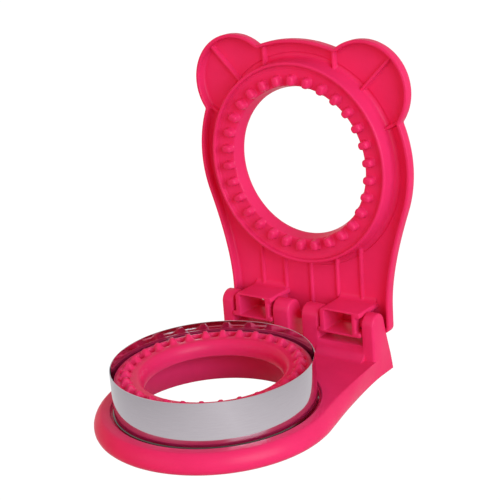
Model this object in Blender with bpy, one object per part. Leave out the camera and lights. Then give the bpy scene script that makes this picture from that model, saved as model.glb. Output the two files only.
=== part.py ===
"""Hinged round sandwich cutter with a bear-head lid, lid open.

Metres, +Z up. The sizes below are in millimetres and MM turns them into metres.
The cutting ring's axis is the vertical line x = 0, y = 0 of the sizes, and +Y
runs from the ring towards the hinge. The finished part is moved along Y so that
its box is centred on the origin.
"""
import math

import bmesh
import bpy
from mathutils import Matrix, Vector

MM = 0.001
GAP = 0.3

# Rings and teeth. Everything round is sized from the band, with its clearances named here.
SEG = 60
TEETH = 30
BAND_R = 46.0
BAND_THICK = 0.45
BAND_HIGH = 20.95
BAND_SUNK = 1.15
HEM_OUT = 0.55
HEM_HIGH = 0.65
SLOT_PLAY = 1.15
LEDGE_LAP = 0.05
CRIMP_PLAY = 1.15
COLLAR_PLAY = 1.0
BAND_IN = BAND_R - BAND_THICK

# Base plate
PLATE_TOP = 9.15
WALL = 2.0
FLANGE = 7.95
SLOT_R = BAND_R + HEM_OUT + SLOT_PLAY
SKIRT_R = BAND_IN - LEDGE_LAP
SKIRT_WALL = 2.0
PLATE_R = SLOT_R + FLANGE
EDGE_BULGE = [(0.0, 1.25), (0.13, 0.35), (0.33, 0.0), (0.55, 0.35), (0.765, 1.35), (0.92, 2.55), (1.0, 3.9)]
LINE_ANGLE = 11.9
LINE_LONG = 29.0
SIDE_FADE = (18.0, 64.0)
UNDER_RIBS = (-24.0, 0.0, 24.0)
UNDER_RIB_THICK = 1.6
UNDER_RIB_START = 40.0

# Heights of the band
BAND_FOOT = PLATE_TOP - BAND_SUNK
HEM_TOP = BAND_FOOT + HEM_HIGH
BAND_TOP = BAND_FOOT + BAND_HIGH

# Crimp ring, its lip and crest measured in from its outside and down from the band's top
CRIMP_OUT = BAND_IN - CRIMP_PLAY
CRIMP_FOOT_OUT = SKIRT_R - GAP
CRIMP_WALL = 2.2
LIP_IN = 12.9
LIP_DOWN = 11.95
CREST_IN = 6.7
CREST_DOWN = 4.75
POCKET_IN = 4.5
POCKET_DEEP = 2.9
POCKET_LONG = 2.2
POCKET_WIDE = 2.25
KNOB_HIGH = 1.7
LIP_R = CRIMP_OUT - LIP_IN
LIP_Z = BAND_TOP - LIP_DOWN
CREST_R = CRIMP_OUT - CREST_IN
CREST_Z = BAND_TOP - CREST_DOWN
POCKET_R = CRIMP_OUT - POCKET_IN
POCKET_FLOOR = CREST_Z - POCKET_DEEP
KNOB_TOP = CREST_Z + KNOB_HIGH

# Hinge, its axis behind the plate's round part and a little under the band's top
PIVOT_BACK = 17.15
PIVOT_DOWN = 3.0
PIVOT_Y = PLATE_R + PIVOT_BACK
PIVOT_Z = BAND_TOP - PIVOT_DOWN
BOSS_R = 3.2
BOSS_INNER = 3.0
BOSS_OUTER = 3.9
EAR_INNER = (3.7, 13.2)
EAR_OUTER = (37.3, 43.8)
EAR_DRAFT = 0.05
EAR_FRONT = PIVOT_Y - 6.9
EAR_DOME = (PIVOT_Y - 1.4, PIVOT_Z + 0.05, 5.5)
EAR_SLOPE = 11.6
BLOCK_TOP = PIVOT_Z - 9.75
BLOCK_BACK = PIVOT_Y + 3.7
REAR_HALF = EAR_OUTER[1] + 0.15
EAR_BACK_Y = EAR_DOME[0] + EAR_DOME[2] * math.cos(math.radians(EAR_SLOPE))
EAR_BACK_Z = EAR_DOME[1] + EAR_DOME[2] * math.sin(math.radians(EAR_SLOPE))
REAR_Y = EAR_BACK_Y + EAR_BACK_Z * math.tan(math.radians(EAR_SLOPE)) + 0.12

# Lid: u across, s along the lid from the ring's centre, q towards its open side
TILT = 1.2
RING_S = PIVOT_Y
LIP_Q = -1.0
RIM_Q = -4.5
FLOOR_Q = -9.0
BACK_Q = -10.5
PAD_Q = -11.0
RIM_WALL = 1.7
COLLAR_WALL = 1.6
COLLAR_IN = BAND_R + COLLAR_PLAY
COLLAR_OUT = COLLAR_IN + COLLAR_WALL
CHEEK_WIDE = 10.3
CHEEK_R = COLLAR_OUT + CHEEK_WIDE
EAR_R = 23.35
EAR_UP = 36.32
EAR_C = (CHEEK_R - EAR_R, EAR_UP)
HEAD_R = 67.29
HEAD_C = -8.84
NOTCH_R = 1.2
TAIL_BACK = 6.8
TAIL_S = -(PIVOT_Y + TAIL_BACK)
TAIL_HALF = EAR_OUTER[1] + 1.45
TAIL_CORNER = 3.2
TAIL_LINE = 11.6
TAIL_BEND = 14.0
CHEEK_BEND = 20.0
FACE_Q = -2.25
FACE_WIDE = 9.7
THROAT_R = COLLAR_IN - FACE_WIDE
NECK_STEP = 1.46
NECK_R = THROAT_R - NECK_STEP
STEP_WIDE = 3.2
STEP_R = COLLAR_OUT + STEP_WIDE
STEP_Q = -9.4
RIB_THICK = 1.5
RIB_Q = -7.9
HEAD_RIB_Q = -7.0
LONG_RIBS = (0.0, 15.09, 28.66)
LONG_RIB_TAIL = 5.6
HEAD_RIBS = [((50.2, 52.6), (33.4, 35.9)), ((19.4, 53.9), (19.4, 44.4)), ((52.9, 22.8), (45.3, 18.9))]
BUMP_IN = COLLAR_IN - 9.6
BUMP_OUT = COLLAR_IN - 4.5
BUMP_WIDE = 4.0
BUMP_TOP = 1.2

# Box knuckles on the lid, sizes from the hinge axis. Both have their rounded wall on the left.
BOX_IN = 17.2
BOX_OUT = 32.4
BOX_WALL = 2.0
BOX_LEFT_WALL = 2.6
BOX_FRONT = 7.2
BOX_TOP = 6.4
BOX_LOW = -6.0
BOX_PLATE = 1.05
BOX_SILL = -3.0
BOX_ROUND = 2.4
BOX_SLOT = 3.65


def material(name, colour, metal, rough):
    mat = bpy.data.materials.new(name)
    mat.use_nodes = True
    bsdf = mat.node_tree.nodes["Principled BSDF"]
    bsdf.inputs["Base Color"].default_value = (*colour, 1.0)
    bsdf.inputs["Metallic"].default_value = metal
    bsdf.inputs["Roughness"].default_value = rough
    return mat


def new_object(name, verts, faces):
    mesh = bpy.data.meshes.new(name)
    mesh.from_pydata([tuple(c * MM for c in v) for v in verts], [], faces)
    bm = bmesh.new()
    bm.from_mesh(mesh)
    bm.normal_update()
    bent = [f for f in bm.faces if len(f.verts) > 4
            and max(abs((v.co - f.calc_center_median()).dot(f.normal)) for v in f.verts) > 0.000001]
    bmesh.ops.triangulate(bm, faces=bent)
    bmesh.ops.recalc_face_normals(bm, faces=bm.faces)
    bm.to_mesh(mesh)
    bm.free()
    obj = bpy.data.objects.new(name, mesh)
    bpy.context.scene.collection.objects.link(obj)
    return obj


def loft(name, rings):
    """Closed solid through rings that have the same number of points."""
    n = len(rings[0])
    verts = [p for ring in rings for p in ring]
    faces = [list(range(n))[::-1], list(range((len(rings) - 1) * n, len(rings) * n))]
    for k in range(len(rings) - 1):
        for i in range(n):
            j = (i + 1) % n
            faces.append([k * n + i, k * n + j, (k + 1) * n + j, (k + 1) * n + i])
    return new_object(name, verts, faces)


def revolve(name, profile, seg=SEG, start=0.0):
    """Ring solid: a closed (radius, height) profile turned about the Z axis."""
    n = len(profile)
    verts = []
    for k in range(seg):
        a = math.radians(start) + 2 * math.pi * k / seg
        verts += [(r * math.cos(a), r * math.sin(a), z) for r, z in profile]
    faces = []
    for k in range(seg):
        m = (k + 1) % seg
        for i in range(n):
            j = (i + 1) % n
            faces.append([k * n + i, m * n + i, m * n + j, k * n + j])
    return new_object(name, verts, faces)


def disc(name, levels, seg=SEG):
    """Solid of round slices: levels are (radius, height)."""
    rings = []
    for r, z in levels:
        rings.append([(r * math.cos(2 * math.pi * k / seg), r * math.sin(2 * math.pi * k / seg), z)
                      for k in range(seg)])
    return loft(name, rings)


def box(name, x0, x1, y0, y1, z0, z1):
    low = [(x0, y0, z0), (x1, y0, z0), (x1, y1, z0), (x0, y1, z0)]
    return loft(name, [low, [(x, y, z1) for x, y, _ in low]])


def barrel(name, x0, x1, y, z, r, seg=32):
    """Cylinder along X."""
    rings = []
    for x in (x0, x1):
        rings.append([(x, y + r * math.cos(2 * math.pi * k / seg), z + r * math.sin(2 * math.pi * k / seg))
                      for k in range(seg)])
    return loft(name, rings)


def cut(target, tool, operation):
    mod = target.modifiers.new(tool.name, "BOOLEAN")
    mod.object = tool
    mod.operation = operation
    mod.solver = "EXACT"
    with bpy.context.temp_override(object=target, active_object=target, selected_objects=[target]):
        bpy.ops.object.modifier_apply(modifier=mod.name)
    bpy.data.objects.remove(tool, do_unlink=True)


def add(target, tool):
    cut(target, tool, "UNION")


def take(target, tool):
    cut(target, tool, "DIFFERENCE")


def joined(name, parts):
    """One tool object made of several solids that don't touch each other."""
    verts, faces = [], []
    for part in parts:
        base = len(verts)
        verts += [tuple(c / MM for c in v.co) for v in part.data.vertices]
        faces += [[base + i for i in p.vertices] for p in part.data.polygons]
        bpy.data.objects.remove(part, do_unlink=True)
    return new_object(name, verts, faces)


def finish(obj, mat, angle=35.0):
    bm = bmesh.new()
    bm.from_mesh(obj.data)
    bmesh.ops.remove_doubles(bm, verts=bm.verts, dist=0.00002)
    bmesh.ops.dissolve_degenerate(bm, edges=bm.edges, dist=0.000001)
    bmesh.ops.triangulate(bm, faces=bm.faces, quad_method="BEAUTY", ngon_method="BEAUTY")
    bmesh.ops.recalc_face_normals(bm, faces=bm.faces)
    bm.to_mesh(obj.data)
    bm.free()
    obj.data.materials.clear()
    obj.data.materials.append(mat)
    obj.data.shade_smooth()
    obj.data.set_sharp_from_angle(angle=math.radians(angle))
    return obj


def arc(cx, cy, r, a0, a1, n):
    """Points of an arc with their outward normals, angles in degrees."""
    out = []
    for k in range(n + 1):
        a = math.radians(a0 + (a1 - a0) * k / n)
        out.append((cx + r * math.cos(a), cy + r * math.sin(a), math.cos(a), math.sin(a)))
    return out


def bezier(p0, c0, c1, p1, n):
    """Inner points of a cubic curve with the normals on its right."""
    out = []
    for k in range(1, n):
        t = k / n
        w = ((1 - t) ** 3, 3 * t * (1 - t) ** 2, 3 * t * t * (1 - t), t ** 3)
        x, y = (sum(wi * p[i] for wi, p in zip(w, (p0, c0, c1, p1))) for i in (0, 1))
        d = (3 * (1 - t) ** 2, 6 * t * (1 - t), 3 * t * t)
        legs = [(b[0] - a[0], b[1] - a[1]) for a, b in ((p0, c0), (c0, c1), (c1, p1))]
        dx, dy = (sum(di * leg[i] for di, leg in zip(d, legs)) for i in (0, 1))
        size = math.hypot(dx, dy)
        out.append((x, y, dy / size, -dx / size))
    return out


def mirrored(half):
    """Whole outline from its right half, listed from the bottom to the top."""
    left = [(-x, y, -nx, ny) for x, y, nx, ny in reversed(half) if abs(x) > 1e-6]
    return half + left


# Base plate outline
def plate_outline():
    a = math.radians(LINE_ANGLE)
    x1, y1 = PLATE_R * math.cos(a), PLATE_R * math.sin(a)
    front = arc(0, 0, PLATE_R, -90, LINE_ANGLE, 18)
    line_end = (x1 - LINE_LONG * math.sin(a), y1 + LINE_LONG * math.cos(a))
    rear = (REAR_HALF, PIVOT_Y)
    reach = (line_end[0] - REAR_HALF) / math.tan(a)
    side = [(*line_end, math.cos(a), math.sin(a))]
    c0 = (line_end[0] - 0.5 * reach * math.sin(a), line_end[1] + 0.5 * reach * math.cos(a))
    c1 = (REAR_HALF, PIVOT_Y - 0.5 * reach)
    side += bezier(line_end, c0, c1, rear, 5)
    side += [(*rear, 1.0, 0.0), (REAR_HALF, REAR_Y, 1.0, 1.0)]
    return mirrored(front + side)


def plate_ring(outline, z, roundness, inset=0.0):
    """Outline at height z, moved in; the side's roundness fades towards the hinge.

    The rear edge leans forward with the ears' back slope.
    """
    y0, y1 = SIDE_FADE
    lean = z * math.tan(math.radians(EAR_SLOPE))
    ring = []
    for x, y, nx, ny in outline:
        t = min(max((y - y0) / (y1 - y0), 0.0), 1.0)
        d = inset + roundness * (1.0 - 0.93 * t * t * (3 - 2 * t))
        back = inset + lean if y == REAR_Y else ny * d
        ring.append((x - nx * d, y - back, z))
    return ring


def ear_profile():
    """(y, z) of a hinge ear seen from the side."""
    cy, cz, r = EAR_DOME
    pts = [(EAR_FRONT - 0.2, PLATE_TOP - WALL)]
    pts += [(p[0], p[1]) for p in reversed(arc(cy, cz, r, EAR_SLOPE, 180, 12))]
    foot = pts[-1]
    z0 = 1.0
    pts += [(foot[0] + (foot[1] - z0) * math.tan(math.radians(EAR_SLOPE)), z0)]
    pts += [(EAR_FRONT + 6.0, z0)]
    return pts


def ear(name, x0, x1, draft0, draft1):
    """Ear between x0 and x1 at its top; its sides spread by the drafts at its foot."""
    prof = ear_profile()
    edge = 1.0
    cy, cz, r = EAR_DOME
    rings = []
    steps = [(x0, edge, draft0), (x0 + edge * 0.35, 0.3 * edge, draft0), (x0 + edge, 0.0, draft0)]
    steps += [(x1 - edge, 0.0, draft1), (x1 - edge * 0.35, 0.3 * edge, draft1), (x1, edge, draft1)]
    for x, pull, draft in steps:
        ring = []
        for y, z in prof:
            low = min(max((cz - z) / (cz - 1.0), 0.0), 1.0)
            side = -1 if x < (x0 + x1) / 2 else 1
            dy, dz = y - cy, z - cz
            size = math.hypot(dy, dz)
            shrink = pull * (1.0 if z > cz - 0.1 else max(0.0, 1.0 - low * 1.2))
            ring.append((x + side * draft * low, y - dy / size * shrink, z - dz / size * shrink))
        rings.append(ring)
    return loft(name, rings)


def build_base():
    outline = plate_outline()
    base = loft("base", [plate_ring(outline, f * PLATE_TOP, d) for f, d in EDGE_BULGE])
    side = EDGE_BULGE[0][1]
    hollow_top = PLATE_TOP - WALL
    hollow = loft("hollow", [plate_ring(outline, -1.0, side, WALL),
                             plate_ring(outline, 5.0, side, WALL + 0.2),
                             plate_ring(outline, hollow_top, side + 1.4, WALL + 0.8)])
    skirt_out = SKIRT_R + SKIRT_WALL
    slot_out = SLOT_R + 1.8
    take(hollow, disc("core", [(skirt_out, -2.0), (skirt_out, 4.2), (slot_out, 5.6),
                               (slot_out, hollow_top + 1.0)]))
    for k, x in enumerate(UNDER_RIBS):
        take(hollow, box(f"rib{k}", x - UNDER_RIB_THICK / 2, x + UNDER_RIB_THICK / 2, UNDER_RIB_START, REAR_Y,
                         0.6, 20.0))
    take(base, hollow)
    for sx in (-1, 1):
        inner = sorted(sx * v for v in EAR_INNER)
        outer = sorted(sx * v for v in EAR_OUTER)
        add(base, ear("ear", *inner, 0.0, 0.0))
        add(base, ear("ear", *outer, EAR_DRAFT * (sx < 0), EAR_DRAFT * (sx > 0)))
        b0, b1 = sorted((sx * (EAR_INNER[1] - 1.0), sx * (EAR_OUTER[0] + 1.0)))
        # Block under the box, with a hollow foot fillet in front
        prof = [(EAR_FRONT + 0.1, BLOCK_TOP - 0.5), (EAR_FRONT + 0.6, BLOCK_TOP), (BLOCK_BACK, BLOCK_TOP),
                (BLOCK_BACK + 1.2, PLATE_TOP - 0.6), (EAR_FRONT - 5.0, PLATE_TOP - 0.6),
                (EAR_FRONT - 5.0, PLATE_TOP), (EAR_FRONT - 3.2, PLATE_TOP + 0.35),
                (EAR_FRONT - 1.5, PLATE_TOP + 1.2), (EAR_FRONT - 0.5, PLATE_TOP + 2.4),
                (EAR_FRONT, PLATE_TOP + 3.8)]
        add(base, loft("block", [[(x, y, z) for y, z in prof] for x in (b0, b1)]))
        for e, into, deep in ((EAR_INNER[1], 1, BOSS_INNER), (EAR_OUTER[0], -1, BOSS_OUTER)):
            x0, x1 = sorted((sx * (e - into * 1.0), sx * (e + into * deep)))
            add(base, barrel("boss", x0, x1, PIVOT_Y, PIVOT_Z, BOSS_R))
    # Slot for the band, the ledge it stands on and the bore for the crimp ring
    take(base, disc("bore", [(SKIRT_R, -1.0), (SKIRT_R, BAND_FOOT - GAP), (SLOT_R, BAND_FOOT - GAP),
                             (SLOT_R, PLATE_TOP - 0.4), (SLOT_R + 0.4, PLATE_TOP),
                             (SLOT_R + 1.4, PLATE_TOP + 1.0)]))
    return base


def build_band():
    inner = BAND_R - BAND_THICK
    hem = BAND_R + HEM_OUT
    prof = [(inner, BAND_FOOT), (BAND_R, BAND_FOOT), (hem - 0.1, BAND_FOOT + 0.1), (hem, BAND_FOOT + 0.35),
            (BAND_R + 0.1, HEM_TOP), (BAND_R, HEM_TOP + 0.1), (BAND_R, BAND_TOP - 0.3),
            (BAND_R - 0.15, BAND_TOP), (inner, BAND_TOP)]
    return revolve("cutter_band", prof)


def build_crimp():
    foot_out = CRIMP_FOOT_OUT
    foot_in = foot_out - CRIMP_WALL - 0.3
    wall_in = CRIMP_OUT - CRIMP_WALL
    # The crown is a dome whose inner side drops straight down to the lip
    prof = [(LIP_R, LIP_Z + 0.3), (LIP_R, LIP_Z + 2.2), (LIP_R + 0.25, LIP_Z + 3.8),
            (LIP_R + 0.9, LIP_Z + 5.4), (LIP_R + 2.0, LIP_Z + 6.65), (LIP_R + 3.6, LIP_Z + 7.1),
            (CREST_R, CREST_Z), (CRIMP_OUT - 0.4, CREST_Z - 0.1), (CRIMP_OUT, CREST_Z - 0.5),
            (foot_out, GAP), (foot_in, GAP), (wall_in, LIP_Z + 1.6), (wall_in - 1.0, LIP_Z + 2.5),
            (LIP_R + 3.0, LIP_Z + 2.4), (LIP_R + 2.1, LIP_Z + 1.6), (LIP_R + 2.0, LIP_Z), (LIP_R + 0.3, LIP_Z)]
    ring = revolve("crimp_ring", prof, SEG)
    cups, knobs = [], []
    for k in range(TEETH):
        a = 2 * math.pi * (k + 0.5) / TEETH
        cups.append(pocket_tool(a))
        knobs.append(knob(2 * math.pi * k / TEETH))
    take(ring, joined("cups", cups))
    add(ring, joined("knobs", knobs))
    return ring


def turned(points, a):
    """Points given as (radial, across, height), turned to the angle a."""
    c, s = math.cos(a), math.sin(a)
    return [(r * c - t * s, r * s + t * c, z) for r, t, z in points]


def oval(cx, rx, ry, z, n):
    return [(cx + rx * math.cos(2 * math.pi * (i + 0.5) / n), ry * math.sin(2 * math.pi * (i + 0.5) / n), z)
            for i in range(n)]


def pocket_tool(a):
    rings = [oval(POCKET_R, POCKET_LONG * f, POCKET_WIDE * f, z, 8)
             for f, z in ((0.7, POCKET_FLOOR), (1.0, POCKET_FLOOR + 1.1), (1.08, KNOB_TOP + 1.0))]
    return loft("cup", [turned(r, a) for r in rings])


def knob(a):
    """Ridge between two cups: it rises outwards to a narrow tip."""
    mid = POCKET_R + 2.3
    rings = [oval(mid - 0.85, 2.85, 1.9, CREST_Z - 0.5, 8), oval(mid - 0.3, 2.1, 1.35, CREST_Z + 0.55, 8),
             oval(mid, 1.35, 1.1, KNOB_TOP - 0.4, 8), oval(mid, 0.8, 0.65, KNOB_TOP, 8)]
    return loft("knob", [turned(r, a) for r in rings])


# Lid outline and its two kinds of notch
def notch(c1, r1, c2, r2, f):
    """Centre of a fillet of radius f outside two circles, at their right-hand meeting."""
    dx, dy = c2[0] - c1[0], c2[1] - c1[1]
    d = math.hypot(dx, dy)
    a, b = r1 + f, r2 + f
    along = (d * d + a * a - b * b) / (2 * d)
    off = math.sqrt(a * a - along * along)
    return (c1[0] + (along * dx + off * dy) / d, c1[1] + (along * dy - off * dx) / d)


def angle_of(centre, p):
    return math.degrees(math.atan2(p[1] - centre[1], p[0] - centre[0]))


def lid_outline():
    half = [(0.0, TAIL_S, 0.0, -1.0)]
    half += arc(TAIL_HALF - TAIL_CORNER, TAIL_S + TAIL_CORNER, TAIL_CORNER, -90, 0, 4)
    a = -19.3
    start = (TAIL_HALF, TAIL_S + TAIL_LINE)
    end = (CHEEK_R * math.cos(math.radians(a)), CHEEK_R * math.sin(math.radians(a)))
    half.append((*start, 1.0, 0.0))
    tx, ty = -math.sin(math.radians(a)), math.cos(math.radians(a))
    c0 = (start[0], start[1] + TAIL_BEND)
    c1 = (end[0] - CHEEK_BEND * tx, end[1] - CHEEK_BEND * ty)
    half += bezier(start, c0, c1, end, 6)
    low = notch((0, 0), CHEEK_R, EAR_C, EAR_R, NOTCH_R)
    high = notch(EAR_C, EAR_R, (0, HEAD_C), HEAD_R, NOTCH_R)
    half += arc(0, 0, CHEEK_R, a, angle_of((0, 0), low), 6)
    half += notch_arc(low, angle_of((0, 0), low) + 180, angle_of(EAR_C, low) - 180)
    half += arc(*EAR_C, EAR_R, angle_of(EAR_C, low), angle_of(EAR_C, high), 16)
    half += notch_arc(high, angle_of(EAR_C, high) + 180, angle_of((0, HEAD_C), high) - 180)
    half += arc(0, HEAD_C, HEAD_R, angle_of((0, HEAD_C), high), 90, 4)
    return mirrored(half)


def notch_arc(centre, a0, a1):
    """Inner points of a fillet arc whose normals point to its centre."""
    turn = (a1 - a0 + 180) % 360 - 180
    out = []
    for k in (1, 2):
        a = math.radians(a0 + turn * k / 3)
        out.append((centre[0] + NOTCH_R * math.cos(a), centre[1] + NOTCH_R * math.sin(a),
                    -math.cos(a), -math.sin(a)))
    return out


def lid_point(u, s, q):
    """Lid's own frame: x across, z up the lid from the hinge, y to its back."""
    return (u, -(q + LIP_Q), s + RING_S)


def lid_ring(outline, q, inset):
    return [lid_point(x - nx * inset, y - ny * inset, q) for x, y, nx, ny in outline]


def lid_turned(obj):
    """Solid made about the Z axis in (u, s, q), put into the lid's own frame."""
    for v in obj.data.vertices:
        u, s, q = (c / MM for c in v.co)
        v.co = Vector(lid_point(u, s, q)) * MM
    bm = bmesh.new()
    bm.from_mesh(obj.data)
    bmesh.ops.recalc_face_normals(bm, faces=bm.faces)
    bm.to_mesh(obj.data)
    bm.free()
    return obj


def rib(name, p0, p1, q_top, q_low=FLOOR_Q - 0.3, thick=RIB_THICK):
    """Straight rib between two (u, s) points, as wide at its crest as thick less the draft."""
    dx, dy = p1[0] - p0[0], p1[1] - p0[1]
    size = math.hypot(dx, dy)
    nx, ny = -dy / size, dx / size
    rings = []
    for q, w in ((q_low, thick / 2 + 0.15), (q_top, thick / 2 - 0.1)):
        rings.append([lid_point(px + side * nx * w, py + side * ny * w, q)
                      for (px, py), side in ((p0, 1), (p0, -1), (p1, -1), (p1, 1))])
    return loft(name, rings)


def bump(a):
    mid, half = (BUMP_IN + BUMP_OUT) / 2, (BUMP_OUT - BUMP_IN) / 2
    wide = BUMP_WIDE / 2
    rings = [oval(mid + 0.2, half, wide, FACE_Q - 0.6, 8), oval(mid, half, wide, BUMP_TOP - 1.3, 8),
             oval(mid, half - 0.4, wide - 0.4, BUMP_TOP - 0.4, 8),
             oval(mid, half - 1.2, wide - 1.1, BUMP_TOP, 8)]
    return loft("bump", [turned(r, a) for r in rings])


def build_lid():
    outline = lid_outline()
    lid = loft("lid", [lid_ring(outline, q, d) for q, d in
                       ((RIM_Q, 0.0), (-8.2, 0.0), (-9.4, 0.45), (-10.2, 1.25), (BACK_Q, 2.4))])
    take(lid, loft("tray", [lid_ring(outline, q, d) for q, d in
                            ((RIM_Q + 2.0, RIM_WALL), (-7.0, RIM_WALL), (-8.3, RIM_WALL + 0.4),
                             (FLOOR_Q, RIM_WALL + 1.3))]))
    take(lid, lid_turned(revolve("step", [(COLLAR_OUT, FLOOR_Q + 1.0), (COLLAR_OUT, STEP_Q), (STEP_R, STEP_Q),
                                          (STEP_R + 0.4, FLOOR_Q + 1.0)], SEG, 2.0)))
    # The tail's edge stands a little lower so that it clears the ears' back slope
    take(lid, box("relief", -TAIL_HALF + RIM_WALL, TAIL_HALF - RIM_WALL, -LIP_Q, 5.0 - LIP_Q,
                  TAIL_S + RING_S - 1.0, TAIL_S + RING_S + RIM_WALL + 1.0))
    ribs = []
    for u in LONG_RIBS:
        s0 = -math.sqrt((COLLAR_OUT - 0.3) ** 2 - u * u)
        s1 = TAIL_S + LONG_RIB_TAIL if u == 0 else BOX_TOP - RING_S - 0.4
        for side in ((1,) if u == 0 else (1, -1)):
            ribs.append(rib("rib", (side * u, s0), (side * u, s1), RIB_Q))
    for side in (1, -1):
        for (u0, s0), (u1, s1) in HEAD_RIBS:
            ribs.append(rib("rib", (side * u0, s0), (side * u1, s1), HEAD_RIB_Q))
    add(lid, joined("ribs", ribs))
    ring = [(COLLAR_IN, -0.5), (COLLAR_IN + 0.25, -0.12), (COLLAR_IN + 0.8, 0.0), (COLLAR_OUT - 0.35, -0.12),
            (COLLAR_OUT, -0.5), (COLLAR_OUT + 0.5, -6.5), (COLLAR_OUT + 1.0, -8.6),
            (COLLAR_OUT + 1.9, STEP_Q - 0.3),
            (COLLAR_OUT + 2.2, -10.0), (COLLAR_OUT + 2.2, BACK_Q - 0.2), (COLLAR_OUT + 1.4, PAD_Q),
            (THROAT_R + 1.3, PAD_Q), (NECK_R + 1.0, -10.5), (NECK_R + 0.25, -9.4), (NECK_R, -8.07),
            (THROAT_R - 0.15, FACE_Q - 0.9), (THROAT_R + 0.2, FACE_Q - 0.25), (COLLAR_IN - 2.0, FACE_Q - 0.2),
            (COLLAR_IN - 1.8, FACE_Q), (COLLAR_IN - 0.1, FACE_Q)]
    take(lid, lid_turned(disc("hole", [(COLLAR_OUT - 0.6, BACK_Q - 2.0), (COLLAR_OUT - 0.6, 2.0)])))
    add(lid, lid_turned(revolve("ring", ring)))
    bumps = [bump(2 * math.pi * (k + 0.5) / TEETH) for k in range(TEETH)]
    add(lid, lid_turned(joined("bumps", bumps)))
    back = -(FLOOR_Q + LIP_Q)
    high, low, bend = BOX_TOP - BOX_PLATE, BOX_LOW + BOX_PLATE, 0.3 * BOX_ROUND
    near, far = EAR_INNER[1] + GAP, EAR_OUTER[0] - GAP
    for x0, bay0, bay1, x1 in ((near, BOX_IN, BOX_OUT, far), (-far, -BOX_OUT, -BOX_IN, -near)):
        w0, w1 = bay0 - BOX_LEFT_WALL, bay1 + BOX_WALL
        section = [(w0 + BOX_ROUND, BOX_TOP), (x1, BOX_TOP), (x1, BOX_SLOT), (w1, BOX_SLOT),
                   (w1, -BOX_SLOT), (x1, -BOX_SLOT), (x1, BOX_LOW), (x0, BOX_LOW), (x0, low), (w0, low),
                   (w0, BOX_TOP - BOX_ROUND), (w0 + bend, BOX_TOP - bend)]
        add(lid, loft("box", [[(x, y, z) for x, z in section] for y in (-BOX_FRONT, back + 0.7)]))
        # The bay runs back to the lid's floor and on through it above a sill
        bay = [(-BOX_FRONT - 1.0, low), (back, low), (back, BOX_SILL), (20.0, BOX_SILL), (20.0, high),
               (-BOX_FRONT - 1.0, high)]
        take(lid, loft("bay", [[(x, y, z) for y, z in bay] for x in (bay0, bay1)]))
    for side in (1, -1):
        for edge, into, deep in ((EAR_INNER[1], 1, BOSS_INNER), (EAR_OUTER[0], -1, BOSS_OUTER)):
            x0, x1 = sorted((side * (edge - into * 1.0), side * (edge + into * (deep + GAP))))
            take(lid, barrel("eye", x0, x1, 0.0, 0.0, BOSS_R + GAP))
    turn = Matrix.Rotation(-math.radians(TILT), 4, "X")
    lid.data.transform(turn)
    lid.location = (0.0, PIVOT_Y * MM, PIVOT_Z * MM)
    return lid


def main():
    for obj in list(bpy.data.objects):
        bpy.data.objects.remove(obj, do_unlink=True)
    pink = (0.86, 0.035, 0.13)
    parts = [finish(build_base(), material("base_plastic", pink, 0.0, 0.3)),
             finish(build_crimp(), material("crimp_ring_plastic", pink, 0.0, 0.3)),
             finish(build_band(), material("cutter_band_steel", (0.62, 0.6, 0.62), 1.0, 0.15)),
             finish(build_lid(), material("lid_plastic", pink, 0.0, 0.3))]
    ys = [(obj.matrix_basis @ v.co).y for obj in parts for v in obj.data.vertices]
    shift = -(min(ys) + max(ys)) / 2
    for obj in parts:
        obj.location.y += shift
    print("shift_y_mm", round(shift / MM, 4))
    for obj in parts:
        print(obj.name, len(obj.data.polygons), "triangles")


main()
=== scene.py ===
"""Round sandwich cutter with a bear-head lid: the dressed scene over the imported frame.

Sizes are in millimetres about the cutting ring's axis, as in the part's source.
"""

import math

import bmesh
import bpy
from mathutils import Matrix, Vector

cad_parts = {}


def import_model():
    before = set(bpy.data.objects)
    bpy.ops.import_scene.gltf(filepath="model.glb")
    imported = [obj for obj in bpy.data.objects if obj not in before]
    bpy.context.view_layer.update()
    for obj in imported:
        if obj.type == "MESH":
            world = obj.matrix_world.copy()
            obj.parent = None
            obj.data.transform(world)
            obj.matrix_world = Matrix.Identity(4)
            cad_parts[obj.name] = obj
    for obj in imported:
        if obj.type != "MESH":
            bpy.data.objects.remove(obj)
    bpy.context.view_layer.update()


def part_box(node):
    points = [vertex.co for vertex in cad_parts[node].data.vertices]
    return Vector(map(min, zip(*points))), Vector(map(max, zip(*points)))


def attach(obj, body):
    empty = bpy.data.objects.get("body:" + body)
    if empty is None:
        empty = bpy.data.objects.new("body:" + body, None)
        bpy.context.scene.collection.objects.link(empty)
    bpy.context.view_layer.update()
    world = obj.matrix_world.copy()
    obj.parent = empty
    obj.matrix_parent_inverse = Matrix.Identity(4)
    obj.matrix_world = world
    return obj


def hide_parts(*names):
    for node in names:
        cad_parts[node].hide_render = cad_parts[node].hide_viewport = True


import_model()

MM = 0.001
band_low, band_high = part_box("cutter_band")
AXIS_Y = (band_low[1] + band_high[1]) / 2 / MM
TEETH = 30
GAP = 0.3
# How far a shape that cuts reaches past the solid
PAST = 1.0

# Steel band. Its hem is given as (out from the band, up from its foot),
# its top edges as (into the steel, down).
BAND_R = 46.0
BAND_THICK = 0.45
BAND_TOP = 28.95
BAND_FOOT = 8.0
BAND_FOOT_BEVEL = 0.05
BAND_SEG = 300
HEM = ((0.3, 0.0), (0.48, 0.1), (0.55, 0.3), (0.48, 0.5), (0.2, 0.64), (0.0, 0.75))
BAND_OUTER_EDGE = ((0.0, 0.35), (0.04, 0.1), (0.15, 0.0))
BAND_INNER_EDGE = ((0.12, 0.0), (0.02, 0.08), (0.0, 0.2))

# Base plate, seen from above: a round front, two straight lines and a straight rear edge
PLATE_R = 55.65
PLATE_TOP = 9.15
LINE_ANGLE = 11.9
LINE_STEPS = (7, 14, 21, 29)
REAR_HALF = 43.95
REAR_Y = 82.47
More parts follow.
